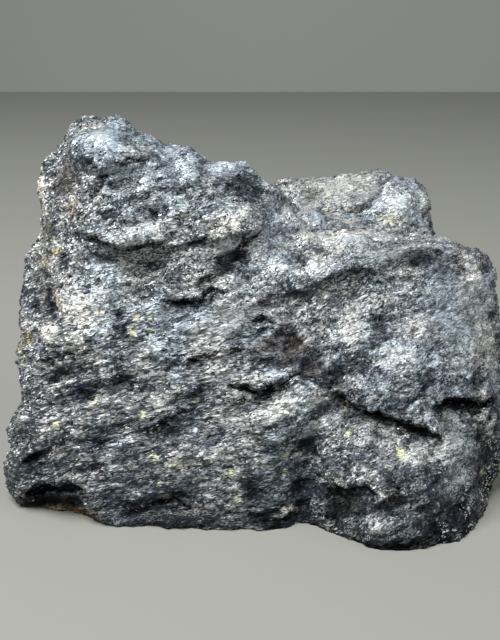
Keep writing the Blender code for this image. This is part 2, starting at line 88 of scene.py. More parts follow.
# Where the stone stands fuller or flatter than the plain solid: a place on it, how far round that place this
# reaches, and the way that the place moves, in millimetres.
SWELLS = {
    "right of the peak": ((-17.5, -1.0, 57.5), 7.0, (0, 0, 1.5)),
    "crest of the head": ((-12.0, -1.5, 56.3), 6.5, (0, 0, 1.3)),
    "end of the crest": ((-4.0, -4.5, 54.5), 5.0, (0, 0, -0.9)),
    "left shoulder": ((-36.0, 1.5, 53.4), 6.0, (-1.1, 0, 0)),
    "left edge": ((-38.6, -4.4, 39.8), 6.5, (-1.1, 0, 0)),
    "under the peak": ((-24.0, -7.4, 54.0), 5.5, (0, -1.5, 0.3)),
    "toe": ((19.0, -34.0, 1.5), 9.0, (0, -0.8, 0)),
    "right of the toe": ((33.0, -31.0, 1.5), 7.0, (0.4, -0.9, 0)),
    "end of the slab": ((27.6, -26.8, 17.4), 4.5, (0.3, -0.9, 0)),
    "beside the slab": ((31.6, -24.2, 16.4), 3.6, (0, 0.9, 0)),
}


def swell(piece, centre, reach, move):
    """Pulls the point of the piece nearest to centre, and the surface round it with it."""
    gaps = [(point.co / MM - mathutils.Vector(centre)).length for point in piece.data.vertices]
    bpy.ops.object.mode_set(mode="EDIT")
    bpy.ops.mesh.select_all(action="DESELECT")
    bpy.ops.object.mode_set(mode="OBJECT")
    piece.data.vertices[int(np.argmin(gaps))].select = True
    bpy.ops.object.mode_set(mode="EDIT")
    bpy.ops.transform.translate(
        value=[step * MM for step in move],
        use_proportional_edit=True,
        proportional_edit_falloff="SMOOTH",
        proportional_size=reach * MM,
    )
    bpy.ops.object.mode_set(mode="OBJECT")


for centre, reach, move in SWELLS.values():
    swell(stone, centre, reach, move)
remesh(stone, edge=0.42, rounds=4)

# Each crack: the points that its mouth follows in millimetres, how wide it opens, how deep it goes in, and
# how steeply it climbs into the stone, in degrees.
CRACKS = {
    "across the face": (
        [(-14.9, -16.4, 34.8), (-12.6, -16.4, 34.2), (-10.2, -16.6, 34.3), (-9.0, -16.6, 34.7),
         (-6.9, -16.2, 36.2), (-4.7, -15.6, 36.5)],
        1.1, 3.0, 10,
    ),
    "above the face crack": (
        [(-10.6, -15.0, 37.2), (-9.0, -14.6, 37.9), (-7.2, -14.2, 38.7)],
        0.7, 1.6, 10,
    ),
    "under the brow": (
        [(-28.2, -12.0, 43.8), (-26.3, -13.0, 44.0), (-23.7, -14.2, 43.4), (-20.8, -14.4, 42.7),
         (-17.5, -14.6, 43.4), (-15.6, -14.2, 43.9)],
        0.7, 1.7, 20,
    ),
    "right of the brow": (
        [(-15.8, -13.8, 43.4), (-13.6, -13.0, 42.9), (-11.4, -13.0, 43.4), (-9.4, -13.1, 43.8),
         (-7.8, -13.3, 44.9)],
        0.35, 1.2, 10,
    ),
    "left of the brow": (
        [(-31.2, -10.4, 46.4), (-29.5, -11.0, 46.9), (-27.6, -11.6, 47.6)],
        0.8, 1.6, 15,
    ),
    "under the peak": (
        [(-22.6, -8.6, 55.9), (-20.9, -8.7, 56.3), (-19.6, -8.7, 56.3), (-18.6, -8.4, 56.6),
         (-17.5, -7.6, 57.0)],
        0.45, 0.9, 20,
    ),
    "below the peak": ([(-26.6, -7.4, 52.9), (-25.0, -7.2, 53.8), (-23.4, -7.6, 54.6)], 0.6, 1.8, 10),
    "cheek of the head": ([(-28.6, -8.6, 51.4), (-27.2, -8.6, 51.3), (-25.8, -8.4, 51.6)], 0.4, 1.5, 10),
    "notch": (
        [(-3.1, -22.4, 21.6), (-1.6, -22.9, 21.1), (-0.1, -22.3, 20.3), (1.3, -22.8, 21.0),
         (3.1, -22.7, 22.3), (4.7, -22.7, 23.1), (6.0, -22.6, 23.8), (7.6, -21.9, 24.1)],
        1.5, 4.0, 8,
    ),
    "left of the notch": (
        [(-4.6, -22.6, 22.3), (-2.6, -22.6, 21.4), (-0.8, -22.7, 20.8), (0.6, -22.6, 20.7),
         (2.2, -22.8, 21.6), (4.4, -22.6, 23.0)],
        2.1, 4.0, 8,
    ),
    "under the slab": (
        [(15.4, -23.4, 19.1), (17.3, -24.4, 18.4), (19.1, -25.5, 17.9), (20.8, -26.0, 17.5),
         (22.7, -26.3, 16.9), (24.7, -26.5, 16.3), (26.6, -26.7, 15.7), (28.6, -25.9, 14.9),
         (30.3, -25.4, 14.3)],
        2.1, 3.4, 8,
    ),
    "end of the slab": (
        [(21.4, -26.0, 17.4), (24.0, -26.4, 16.5), (26.4, -26.7, 15.7), (28.8, -26.0, 14.9)],
        2.7, 3.2, 8,
    ),
    "between the notch and the slab": (
        [(6.8, -21.9, 24.2), (9.1, -22.3, 23.1), (11.2, -22.9, 22.2), (13.3, -23.0, 20.6),
         (15.3, -23.3, 19.1), (17.2, -24.2, 18.4)],
        0.6, 1.3, 10,
    ),
    "under the right ledge": (
        [(28.2, -24.8, 19.4), (30.0, -23.2, 19.3), (31.4, -22.3, 19.2), (33.2, -21.3, 18.9),
         (35.0, -20.9, 18.4), (36.6, -20.8, 17.9), (38.4, -19.8, 17.8), (40.4, -18.4, 18.2)],
        2.0, 3.6, 5,
    ),
    "corner of the right ledge": (
        [(33.4, -21.0, 18.8), (35.3, -21.2, 17.9), (36.7, -21.6, 17.2), (38.0, -20.6, 17.4),
         (39.8, -18.8, 18.0)],
        2.4, 3.0, 5,
    ),
    "left lip": (
        [(-36.6, -17.0, 24.9), (-34.0, -18.4, 25.0), (-31.9, -18.8, 25.6), (-29.7, -18.8, 26.4),
         (-26.5, -19.2, 27.4)],
        0.6, 1.4, 15,
    ),
    "lower left": (
        [(-39.4, -22.6, 8.2), (-37.4, -23.5, 9.2), (-35.2, -23.9, 10.6), (-33.1, -24.1, 12.0),
         (-30.3, -24.5, 13.2), (-27.5, -24.6, 13.8)],
        0.55, 1.8, 15,
    ),
    "over the foot": (
        [(-39.6, -23.2, 2.4), (-37.0, -25.3, 4.0), (-34.8, -26.3, 5.2), (-32.4, -26.6, 5.7),
         (-30.2, -26.7, 5.8), (-28.4, -27.0, 6.0)],
        2.2, 3.4, 10,
    ),
    "middle furrow": (
        [(-18.0, -24.5, 15.8), (-15.1, -24.2, 16.4), (-13.0, -23.7, 17.4), (-10.6, -23.1, 19.4)],
        0.9, 0.8, 20,
    ),
    "upper furrow": (
        [(-12.8, -20.7, 25.0), (-9.9, -20.3, 26.0), (-7.0, -20.0, 26.8), (-3.0, -20.1, 27.4),
         (0.4, -20.2, 27.8)],
        0.6, 0.8, 15,
    ),
    "beside the block": (
        [(0.8, -16.8, 32.8), (1.9, -17.2, 31.4), (1.0, -18.2, 30.2), (-0.4, -18.8, 29.6)],
        0.4, 1.0, 0,
    ),
    "corner of the head": (
        [(-7.4, -13.2, 39.4), (-5.2, -12.4, 40.6), (-2.6, -11.6, 42.2), (0.4, -11.6, 45.2)],
        0.6, 1.0, 20,
    ),
    "low black furrow": (
        [(-18.4, -28.0, 3.2), (-15.6, -28.3, 4.2), (-13.2, -28.5, 4.7), (-10.8, -28.6, 3.8)],
        0.6, 1.2, 15,
    ),
    "foot hole": ([(2.8, -28.9, 2.8), (4.4, -28.2, 2.9), (6.4, -27.6, 1.8)], 0.8, 2.0, 15),
    "toe fold": (
        [(10.6, -26.8, 4.4), (13.2, -29.0, 6.8), (15.6, -30.6, 8.0), (17.7, -31.5, 8.4),
         (20.0, -32.6, 8.0)],
        0.5, 1.0, 15,
    ),
}
WEDGE_FRONT = 2  # mm by which a wedge stands out of the face that it cuts
WEDGE_TIP = 0.15  # how wide its ends are, of its full width


def wedge(name, points, opening, depth, climb):
    """A thin wedge along the points, narrow at its ends, from in front of the face to its edge inside."""
    climb = math.radians(climb)
    front = opening / 2 * (depth + WEDGE_FRONT) / depth
    inside = (-depth * math.cos(climb), depth * math.sin(climb))
    outline = [(WEDGE_FRONT, front), (WEDGE_FRONT, -front), inside]
    section = bpy.data.curves.new("wedge_section", "CURVE")
    section.dimensions = "2D"
    spline = section.splines.new("POLY")
    spline.points.add(len(outline) - 1)
    for point, (across, up) in zip(spline.points, outline):
        point.co = (across * MM, up * MM, 0, 1)
    spline.use_cyclic_u = True
    path = bpy.data.curves.new(name, "CURVE")
    path.dimensions = "3D"
    path.twist_mode = "Z_UP"
    path.bevel_mode = "OBJECT"
    path.bevel_object = bpy.data.objects.new("wedge_section", section)
    path.use_fill_caps = True
    spline = path.splines.new("POLY")
    spline.points.add(len(points) - 1)
    for point, at in zip(spline.points, points):
        point.co = (at[0] * MM, at[1] * MM, at[2] * MM, 1)
    for end in (0, -1):
        spline.points[end].radius = WEDGE_TIP
    made = bpy.data.objects.new(name, path)
    bpy.context.scene.collection.objects.link(made)
    return made


bpy.ops.object.select_all(action="DESELECT")
wedges = [wedge(name, *crack) for name, crack in CRACKS.items()]
for each in wedges:
    each.select_set(True)
bpy.context.view_layer.objects.active = wedges[0]
bpy.ops.object.convert(target="MESH")
bpy.ops.object.join()
cutter = bpy.context.object
bpy.ops.object.mode_set(mode="EDIT")
bpy.ops.mesh.select_all(action="SELECT")
bpy.ops.mesh.remove_doubles(threshold=0.0002 * MM)
bpy.ops.mesh.normals_make_consistent(inside=False)
bpy.ops.object.mode_set(mode="OBJECT")
remesh(cutter, edge=0.2, rounds=0)

# The sides of a crack are broken too, so the wedges are roughened before they cut.
clouds = bpy.data.textures.new("crack_sides", "CLOUDS")
clouds.noise_scale = 1.3 * MM
clouds.noise_depth = 3
ragged_sides = cutter.modifiers.new("ragged_sides", "DISPLACE")
ragged_sides.texture = clouds
ragged_sides.texture_coords = "LOCAL"
ragged_sides.strength = 1.1 * MM
ragged_sides.mid_level = 0.45
apply_modifiers(cutter)


def cut_away(piece, tool):
    """Takes from the piece what lies inside the tool."""
    cut = piece.modifiers.new("cut", "BOOLEAN")
    cut.operation = "DIFFERENCE"
    cut.solver = "MANIFOLD"
    cut.object = tool
    apply_modifiers(piece)


cut_away(stone, cutter)
remesh(stone, edge=0.3, rounds=2)

# The spare foot goes, all that is under the table's top, which leaves the stone a flat one.
GROUND = 200  # mm, wider than the stone
bpy.ops.mesh.primitive_cube_add(size=GROUND * MM, location=(0, 0, -GROUND / 2 * MM))
ground = bpy.context.object
cut_away(stone, ground)
bpy.data.objects.remove(ground)

# --------------------------------------------------------------------------------------- The stone's break
# The finer break of the face: lenses with a raised lower lip, flat grains and small pits, each a few
# millimetres or less across. They lie along the foliation.

# Where the metal is fresh and bright, each with its middle, then half its length along the grain and half its
# width across it, in millimetres. These stand a little proud, and the tarnished ones lie a little hollow.
# Some fresh patches are painted light on faces in shade, as under the peak, under the band and along the
# right edge, and some tarnished ones are painted shade, as below the brow, in the cleft, at the mouth of the
# valley and along the foot of the toe.
FRESH_AND_PAINTED_LIGHT = {
    "left of the face": ((-27.2, -16.5, 33.8), 4.2, 4.8),
    "peak": ((-25.6, -5.6, 59.6), 2.6, 1.7),
    "band on the head": ((-5.8, -12.6, 47.3), 5.6, 1.9),
    "under the band": ((-8.8, -13.4, 40.8), 2.3, 2.6),
    "right of the brow": ((-5.4, -12.3, 43.0), 3.2, 1.1),
    "edge of the cheek": ((-32.5, -7.7, 46.0), 1.7, 1.3),
    "brow": ((-19.6, -14.8, 45.2), 5.0, 1.6),
    "under the peak": ((-23.0, -8.2, 54.4), 4.2, 1.6),
    "right of the hollow": ((-18.6, -7.9, 54.6), 2.8, 1.7),
    "left end of the saddle": ((5.5, -6.0, 45.6), 3.0, 2.2),
    "front of the saddle": ((10.2, -13.6, 39.3), 4.2, 1.2),
    "under the notch": ((1.6, -25.0, 18.0), 2.8, 1.3),
    "right of the notch": ((5.6, -22.4, 24.4), 2.2, 1.3),
    "left of the valley": ((1.0, -27.4, 9.9), 2.0, 2.6),
    "foot of the left side": ((-3.1, -28.6, 6.0), 1.8, 1.8),
    "right of the near knob": ((28.8, 9.3, 46.8), 2.6, 2.6),
    "right edge": ((38.8, -14.0, 27.3), 1.8, 6.5),
    "streak on the head": ((-23.9, -10.5, 50.8), 2.6, 0.8),
    "left of the saddle": ((2.6, -12.6, 39.4), 4.0, 2.0),
    "saddle by the head": ((0.4, -10.8, 42.6), 2.0, 4.0),
    "saddle": ((13.5, -7.0, 42.7), 7.6, 3.0),
    "right of the saddle": ((21.1, -4.3, 42.3), 3.8, 2.4),
    "block": ((15.6, -18.0, 29.6), 3.6, 2.1),
    "low on the block": ((22.6, -20.8, 27.2), 4.2, 2.2),
    "above the notch": ((2.4, -22.5, 24.4), 2.8, 1.3),
    "below the notch": ((8.0, -23.8, 21.0), 5.0, 2.0),
    "left of the lip": ((11.3, -23.7, 16.3), 2.8, 1.3),
    "near knob": ((25.7, 6.2, 46.2), 5.2, 5.0),
    "edge of the block": ((36.6, -10.9, 37.7), 1.4, 2.4),
    "under the slab": ((25.8, -26.6, 12.8), 3.2, 1.1),
    "long band": ((-4.8, -26.8, 12.9), 4.4, 1.3),
    "band above it": ((-8.6, -24.7, 15.9), 2.6, 0.9),
    "toe": ((19.6, -34.0, 3.6), 3.8, 1.2),
    "foot of the valley": ((4.6, -28.1, 2.7), 1.8, 0.8),
    "stripe under the slab": ((26.5, -26.2, 13.6), 2.4, 1.0),
    "left edge": ((-34.2, -15.4, 29.4), 1.8, 1.6),
    "over the face crack": ((-3.9, -15.1, 37.6), 1.8, 1.0),
    "top of the head": ((-11.2, -7.4, 54.8), 1.7, 2.3),
    "shoulder of the head": ((-5.0, -4.9, 55.1), 2.3, 1.3),
    "right side": ((35.4, -17.8, 26.6), 2.6, 2.3),
    "far end of the saddle": ((9.9, -1.0, 44.9), 2.2, 1.5),
    "low on the right edge": ((38.6, -20.4, 14.6), 1.4, 3.6),
    "middle of the face": ((-9.5, -17.5, 31.7), 2.3, 1.6),
    "under the left edge": ((-29.8, -18.5, 27.6), 2.3, 1.6),
    "lip of the slab": ((11.0, -23.4, 21.0), 1.9, 1.2),
    "top of the left face": ((-24.0, -13.5, 39.1), 4.0, 1.5),
    "right of the vein": ((-9.3, -12.4, 47.2), 2.0, 1.3),
    "low left edge": ((-39.0, -20.2, 15.1), 1.2, 1.3),
    "under the brow": ((-13.7, -13.1, 43.4), 2.3, 1.0),
    "right of the lip": ((17.6, -26.3, 13.8), 1.6, 1.3),
    "below the specks": ((-16.8, -19.0, 27.8), 2.2, 1.3),
}
# Besides real tarnish, these hold painted shade: below the brow, in the cleft, in the valley, round the toe
# and along the foot.
TARNISHED_AND_PAINTED_SHADE = {
    "below the brow": ((-17.8, -14.0, 39.9), 4.6, 1.2),
    "corner of the head": ((-2.6, -11.2, 41.1), 1.8, 1.0),
    "foot of the corner": ((-5.2, -12.4, 39.6), 1.8, 1.0),
    "below the belt": ((-10.4, -22.4, 20.7), 3.8, 1.4),
    "right end of the slab": ((24.4, -24.2, 21.6), 4.6, 1.7),
    "belt on the left": ((-26.0, -21.8, 21.4), 8.6, 1.5),
    "vein on the left of the head": ((-19.4, -10.4, 50.7), 2.4, 0.8),
    "vein on the head": ((-15.6, -11.9, 48.8), 1.8, 0.7),
    "left of the streak": ((-23.6, -12.2, 48.7), 2.0, 0.8),
    "edge below the brow": ((-32.2, -11.5, 40.5), 1.6, 1.2),
    "far left edge": ((-37.2, -11.9, 31.9), 1.2, 1.6),
    "left of the cream face": ((-34.2, -13.9, 33.4), 1.3, 2.8),
    "low on the left": ((-27.4, -26.6, 9.6), 2.4, 0.9),
    "right of the low left": ((-15.2, -24.9, 14.9), 2.6, 1.0),
    "brown middle": ((4.8, -19.7, 27.4), 5.5, 2.3),
    "blue middle": ((15.7, -20.3, 25.1), 3.9, 1.5),
    "below the left lip": ((-32.3, -19.3, 23.3), 4.8, 1.3),
    "middle furrow": ((-12.7, -23.6, 17.5), 3.4, 0.9),
    "slot in the block": ((20.0, -17.4, 31.7), 1.2, 2.2),
    "grey of the block": ((26.6, -12.4, 41.2), 5.0, 1.9),
    "brow of the block": ((14.7, -14.9, 35.3), 3.4, 1.2),
    "left of the block": ((4.0, -15.4, 35.0), 5.2, 1.1),
    "band down the middle": ((4.6, -18.1, 28.8), 2.8, 1.7),
    "band lower down": ((8.2, -19.1, 26.1), 2.6, 1.7),
    "foot of the band": ((8.6, -20.8, 25.2), 2.2, 1.0),
    "band above the slab": ((11.8, -21.8, 23.5), 2.4, 1.5),
    "left end of the slab": ((14.6, -22.6, 21.2), 1.8, 1.0),
    "right of the head": ((-1.0, -6.2, 51.7), 3.7, 3.3),
    "top of the valley": ((8.4, -24.2, 12.0), 1.6, 2.3),
    "left of the valley": ((2.4, -26.8, 13.3), 1.1, 1.0),
    "middle of the valley": ((7.8, -25.6, 5.2), 3.6, 2.2),
    "foot of the valley": ((8.1, -26.7, 2.4), 1.6, 2.8),
    "left of the toe": ((13.6, -29.2, 4.5), 6.0, 3.2),
    "front of the toe": ((21.0, -33.4, 7.2), 2.4, 1.0),
    "foot of the toe": ((22.0, -35.0, 0.6), 9.0, 1.3),
    "left end of the far knob": ((10.6, 18.5, 44.6), 2.4, 1.6),
    "right of the toe": ((29.2, -32.8, 3.9), 3.4, 4.0),
    "fold of the toe": ((28.0, -30.6, 10.6), 2.2, 1.6),
    "top of the toe": ((22.3, -32.3, 10.8), 3.2, 1.3),
    "right flank": ((39.8, -20.0, 6.0), 2.6, 9.5),
    "foot of the flank": ((33.8, -30.0, 2.5), 3.4, 3.8),
    "cleft": ((-34.4, -24.2, 2.5), 7.4, 2.3),
    "left foot": ((-17.6, -28.1, 3.8), 8.0, 1.6),
    "right of the left foot": ((-2.6, -28.5, 6.2), 3.6, 1.6),
    "low belt": ((-23.7, -24.8, 14.7), 5.5, 1.5),
    "low left edge": ((-37.0, -23.7, 8.8), 2.2, 2.0),
    "blotch on the saddle": ((7.3, -11.8, 40.3), 1.4, 1.4),
    "small blotch on the saddle": ((10.7, -9.9, 42.2), 1.6, 1.1),
    "beside the left face": ((-22.2, -18.0, 31.4), 1.2, 2.7),
    "over the right ledge": ((36.8, -18.9, 22.0), 2.3, 1.5),
    "mouth of the valley": ((5.1, -28.8, 0.7), 4.3, 1.6),
    "left of the valley mouth": ((1.0, -29.4, 1.8), 2.3, 1.4),
}

# Where the break ran smooth, each with its middle, half its length and half its width.
SMOOTH = {
    "peak": ((-26.6, -5.0, 59.6), 5.8, 3.6),
    "edge of the block": ((33.4, -15.0, 33.4), 6.0, 9.0),
    "top of the block": ((24.6, -12.2, 42.1), 6.6, 2.2),
    "under the face crack": ((-5.5, -17.8, 31.8), 6.0, 2.8),
    "far knob": ((20.0, 19.0, 46.0), 12.0, 5.0),
}

PATCH_RISE = math.radians(16)  # how steeply the patches climb to the right
PATCH_DEPTH = 3.5  # mm, the least that a patch reaches from front to back
PATCH_STRENGTH = 1.5  # in a patch's middle, with 1 less at its edge
PATCH_FADE = (0.1, 1.1)  # the strengths between which what a patch does comes in


def points_of(piece):
    """The piece's points in millimetres, one row each."""
    found = np.empty(len(piece.data.vertices) * 3)
    piece.data.vertices.foreach_get("co", found)
    return found.reshape(-1, 3) / MM


def reach_of(points, centre, along, across):
    """How far each point lies from a patch's middle: 1 at its edge, which is drawn out along the grain."""
    offset = points - centre
    length = offset[:, 0] * math.cos(PATCH_RISE) + offset[:, 2] * math.sin(PATCH_RISE)
    height = offset[:, 2] * math.cos(PATCH_RISE) - offset[:, 0] * math.sin(PATCH_RISE)
    depth = offset[:, 1] / max(across, PATCH_DEPTH)
    return np.sqrt((length / along) ** 2 + depth ** 2 + (height / across) ** 2)


def paint_patches(piece, name, patches):
    """Leaves on the piece how strong the patches are at each point."""
    points = points_of(piece)
    strength = np.zeros(len(points))
    for centre, along, across in patches.values():
        strength = np.maximum(strength, PATCH_STRENGTH - reach_of(points, centre, along, across))
    layer = piece.data.attributes.new(name, "FLOAT", "POINT")
    layer.data.foreach_set("value", strength.astype(np.float32))


# Behind, the same patches lie here and there.
PATCHES_BEHIND = 18  # of each kind
BACK = 8  # mm, behind which a place counts as behind
LEAST_HEIGHT = 2  # mm, so that none lies on the foot
chance = np.random.default_rng(5)
spots = points_of(stone)
spots = spots[(spots[:, 1] > BACK) & (spots[:, 2] > LEAST_HEIGHT)]
for patches, kind in ((FRESH_AND_PAINTED_LIGHT, "fresh"), (TARNISHED_AND_PAINTED_SHADE, "tarnished")):
    for count in range(PATCHES_BEHIND):
        along, across = chance.uniform(2.0, 6.0), chance.uniform(1.2, 3.0)
        patches[kind + " behind " + str(count)] = (spots[chance.integers(len(spots))], along, across)
paint_patches(stone, "fresh", FRESH_AND_PAINTED_LIGHT)
paint_patches(stone, "tarnish", TARNISHED_AND_PAINTED_SHADE)
paint_patches(stone, "smooth", SMOOTH)


def node(tree, kind, inputs=(), **settings):
    """A node of that kind in the tree. Each input is a value, or the socket that it comes from."""
    made = tree.nodes.new(kind)
    for name, value in settings.items():
        setattr(made, name, value)
    for name, value in dict(inputs).items():
        if isinstance(value, bpy.types.NodeSocket):
            tree.links.new(value, made.inputs[name])
        else:
            made.inputs[name].default_value = value
    return made


def math_of(tree, operation, *values, clamp=False):
    inputs = dict(enumerate(values))
    return node(tree, "ShaderNodeMath", inputs, operation=operation, use_clamp=clamp).outputs[0]


def plus(tree, total, layer, share):
    """total, and that share of the layer on top."""
    return math_of(tree, "MULTIPLY_ADD", layer, share, total)


def ramp_of(tree, value, low, high, bottom=0.0, top=1.0):
    """value between low and high, eased into bottom to top."""
    inputs = {"Value": value, "From Min": low, "From Max": high, "To Min": bottom, "To Max": top}
    return node(tree, "ShaderNodeMapRange", inputs, interpolation_type="SMOOTHSTEP").outputs["Result"]


def vector_of(tree, operation, *values):
    made = node(tree, "ShaderNodeVectorMath", dict(enumerate(values)), operation=operation)
    return made.outputs["Value" if operation == "DOT_PRODUCT" else "Vector"]


def scaled(tree, vector, amount):
    """The vector times amount, along every axis."""
    inputs = {0: vector, "Scale": amount}
    return node(tree, "ShaderNodeVectorMath", inputs, operation="SCALE").outputs["Vector"]


def stretched(tree, place, lengths):
    """place measured in lengths of its own along each axis."""
    return vector_of(tree, "DIVIDE", place, lengths)


def parts_of(tree, vector):
    """The vector's three parts, as 0, 1 and 2 or as X, Y and Z."""
    return node(tree, "ShaderNodeSeparateXYZ", {0: vector}).outputs


def noise_of(tree, place, size, detail=2.0, roughness=0.5):
    """Soft noise from about -1 to 1, whose lumps are the given size across, in the units of place."""
    inputs = {"Vector": place, "Scale": 1 / size, "Detail": detail, "Roughness": roughness}
    return node(tree, "ShaderNodeTexNoise", inputs, normalize=False).outputs[0]


def cells_of(tree, place, **settings):
    """Cells of uneven shape, about one unit of place across."""
    return node(tree, "ShaderNodeTexVoronoi", {"Vector": place, "Scale": 1.0}, **settings).outputs


# The foliation climbs to the right, and more steeply on the right side, and dips away behind the face.
GRAIN_RISE = math.radians(13)
GRAIN_RISE_RIGHT = math.radians(24)
GRAIN_DIP = math.radians(24)


def grain_place(tree, millimetres):
    """A place in the foliation's own axes: along the lenses, across them, and through their thickness."""
    rise = ramp_of(tree, parts_of(tree, millimetres)["X"], -4.0, 16.0, GRAIN_RISE, GRAIN_RISE_RIGHT)
    turn = node(
        tree,
        "ShaderNodeVectorRotate",
        {"Vector": millimetres, "Center": (6, -24, 24), "Angle": rise},
        rotation_type="Y_AXIS",
    )
    return node(
        tree,
        "ShaderNodeVectorRotate",
        {"Vector": turn.outputs[0], "Center": (0, -24, 24), "Angle": GRAIN_DIP},
        rotation_type="X_AXIS",
    ).outputs[0]


def evenness_of(tree, place):
    """0 on the left side, which split along its long lenses, to 1 where the break shows an even grain."""
    parts = parts_of(tree, place)
    right = ramp_of(tree, parts["X"], 0.0, 9.0)
    high = ramp_of(tree, parts["Z"], 30.0, 39.0)
    return math_of(tree, "MAXIMUM", right, high)


MIDDLE_COLOUR = (0.5, 0.5, 0.5)  # of the random colours that say which way each grain leans


def flat_grains(tree, place, tilt, lift):
    """The height of flat grains one unit of place across, each leaning its own way."""
    cells = cells_of(tree, place)
    lean = vector_of(tree, "SUBTRACT", cells["Color"], MIDDLE_COLOUR)
    arm = vector_of(tree, "SUBTRACT", place, cells["Position"])
    slope = vector_of(tree, "DOT_PRODUCT", arm, lean)
    rise = plus(tree, -lift / 2, parts_of(tree, cells["Color"])[0], lift)
    return plus(tree, rise, slope, tilt)


LENS_THICKNESS = 1.9  # mm
LIP = 0.12  # how much of that the lip takes up


def lens_lips(tree, place):
    """Saw-toothed height of overlapping lenses: each slopes back upwards from its lower lip."""
    wander = noise_of(tree, stretched(tree, place, (1.0, 1.0, 0.7)), 8.0)
    ruffle = noise_of(tree, stretched(tree, place, (1.6, 1.0, 0.6)), 2.4)
    phase = math_of(tree, "DIVIDE", parts_of(tree, place)["Z"], LENS_THICKNESS)
    phase = plus(tree, phase, wander, 1.5)
    phase = plus(tree, phase, ruffle, 0.5)
    part = math_of(tree, "FRACT", phase)
    fall = math_of(tree, "SUBTRACT", 1.0, part)
    return math_of(tree, "MULTIPLY", fall, ramp_of(tree, part, 0.0, LIP))


# The flat grains that the break raises: their size along the lenses, across them and through them in
# millimetres, how steeply they lean, how far some stand over others, and how much all this counts.
RAISED_GRAINS = {
    "slabs": ((5.0, 3.6, 2.6), 0.9, 0.5, 0.45),
    "grains": ((3.2, 2.2, 1.2), 1.0, 0.7, 0.40),
    "small grains": ((1.6, 1.1, 0.6), 1.0, 0.8, 0.20),
}
LIP_HEIGHT = 0.42  # mm, as the next three
LUMP_HEIGHT = 0.40
CRUMB_HEIGHT = 0.16
PATCH_HEIGHT = 0.45  # by which the fresh patches stand proud, and the tarnished ones lie hollow
SMOOTH_RELIEF = 0.45  # how much of the relief a smooth patch keeps
FOOT_HEIGHT = 2.0  # mm above the foot over which the relief comes to push up and down too
CRACK_EDGE = 0.45  # mm from a wedge within which a point starts to count as in a crack
CRACK_CORE = 0.12  # mm from it within which a point counts as wholly in a crack


def relief_nodes():
    """The geometry nodes that raise the finer break, and leave its height on the mesh for the material."""
    tree = bpy.data.node_groups.new("ore_relief", "GeometryNodeTree")
    for way in ("INPUT", "OUTPUT"):
        tree.interface.new_socket("Geometry", in_out=way, socket_type="NodeSocketGeometry")
    start = tree.nodes.new("NodeGroupInput")
    place = scaled(tree, node(tree, "GeometryNodeInputPosition").outputs[0], 1 / MM)
    grain = grain_place(tree, place)

    patches = ramp_of(tree, noise_of(tree, place, 11.0), -0.25, 0.35, 0.3, 1.0)
    patches = math_of(tree, "MULTIPLY", patches, plus(tree, 1.0, evenness_of(tree, place), -0.6))
    lips = math_of(tree, "MULTIPLY", lens_lips(tree, grain), patches)
    height = math_of(tree, "MULTIPLY", lips, LIP_HEIGHT)
    for lengths, tilt, lift, share in RAISED_GRAINS.values():
        height = plus(tree, height, flat_grains(tree, stretched(tree, grain, lengths), tilt, lift), share)
    lumps = noise_of(tree, place, 3.4, 3.0, 0.6)
    height = plus(tree, height, lumps, LUMP_HEIGHT)
    crumbs = noise_of(tree, stretched(tree, grain, (1.1, 0.9, 0.6)), 0.9, 2.0, 0.6)
    height = plus(tree, height, crumbs, CRUMB_HEIGHT)
    for name, operation, outside, inside in (
        ("smooth", "MULTIPLY", 1.0, SMOOTH_RELIEF),
        ("fresh", "ADD", 0.0, PATCH_HEIGHT),
        ("tarnish", "SUBTRACT", 0.0, PATCH_HEIGHT),
    ):
        patch = node(tree, "GeometryNodeInputNamedAttribute", {"Name": name}, data_type="FLOAT")
        change = ramp_of(tree, patch.outputs[0], *PATCH_FADE, outside, inside)
        height = math_of(tree, operation, height, change)

    # Near the foot the relief pushes only sideways, so the edge is ragged and the foot stays flat.
    way = parts_of(tree, node(tree, "GeometryNodeInputNormal").outputs[0])
    upward = ramp_of(tree, parts_of(tree, place)["Z"], 0.0, FOOT_HEIGHT)
    upward = math_of(tree, "MULTIPLY", way["Z"], upward)
    way = node(tree, "ShaderNodeCombineXYZ", {0: way["X"], 1: way["Y"], 2: upward}).outputs[0]
    push = scaled(tree, way, math_of(tree, "MULTIPLY", height, MM))
    moved = node(tree, "GeometryNodeSetPosition", {"Geometry": start.outputs[0], "Offset": push})

    # The height stays on the mesh, and so does how near each point is to a crack.
    wedges = node(tree, "GeometryNodeObjectInfo", {"Object": cutter}).outputs["Geometry"]
    gap = node(tree, "GeometryNodeProximity", {"Geometry": wedges}, target_element="FACES")
    nearness = ramp_of(tree, gap.outputs["Distance"], CRACK_EDGE * MM, CRACK_CORE * MM)
    kept = moved.outputs[0]
    for name, value in (("relief", height), ("crack", nearness)):
        kept = node(
            tree,
            "GeometryNodeStoreNamedAttribute",
            {"Geometry": kept, "Name": name, "Value": value},
            data_type="FLOAT",
            domain="POINT",
        ).outputs[0]
    node(tree, "NodeGroupOutput", {0: kept})
    return tree


bpy.context.view_layer.objects.active = stone
stone.select_set(True)
raised = stone.modifiers.new("raise", "NODES")
raised.node_group = relief_nodes()
apply_modifiers(stone)
bpy.data.objects.remove(cutter)

TRIANGLES_KEPT = 197_000  # or a few hundred more
thin = stone.modifiers.new("thin", "DECIMATE")
thin.ratio = TRIANGLES_KEPT / (2 * len(stone.data.polygons))
apply_modifiers(stone)

# Thinning leaves a few loose faces hanging by an edge, and they go.
bpy.ops.object.mode_set(mode="EDIT")
bpy.ops.mesh.select_all(action="SELECT")
bpy.ops.mesh.quads_convert_to_tris()
bpy.ops.mesh.select_all(action="DESELECT")
bpy.ops.mesh.select_mode(type="EDGE")
bpy.ops.mesh.select_non_manifold()
bpy.ops.mesh.select_mode(type="FACE")
bpy.ops.mesh.delete(type="FACE")
bpy.ops.mesh.select_mode(type="VERT")
bpy.ops.object.mode_set(mode="OBJECT")
bpy.ops.object.shade_smooth()

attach(stone, "root")
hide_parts("siegenite")
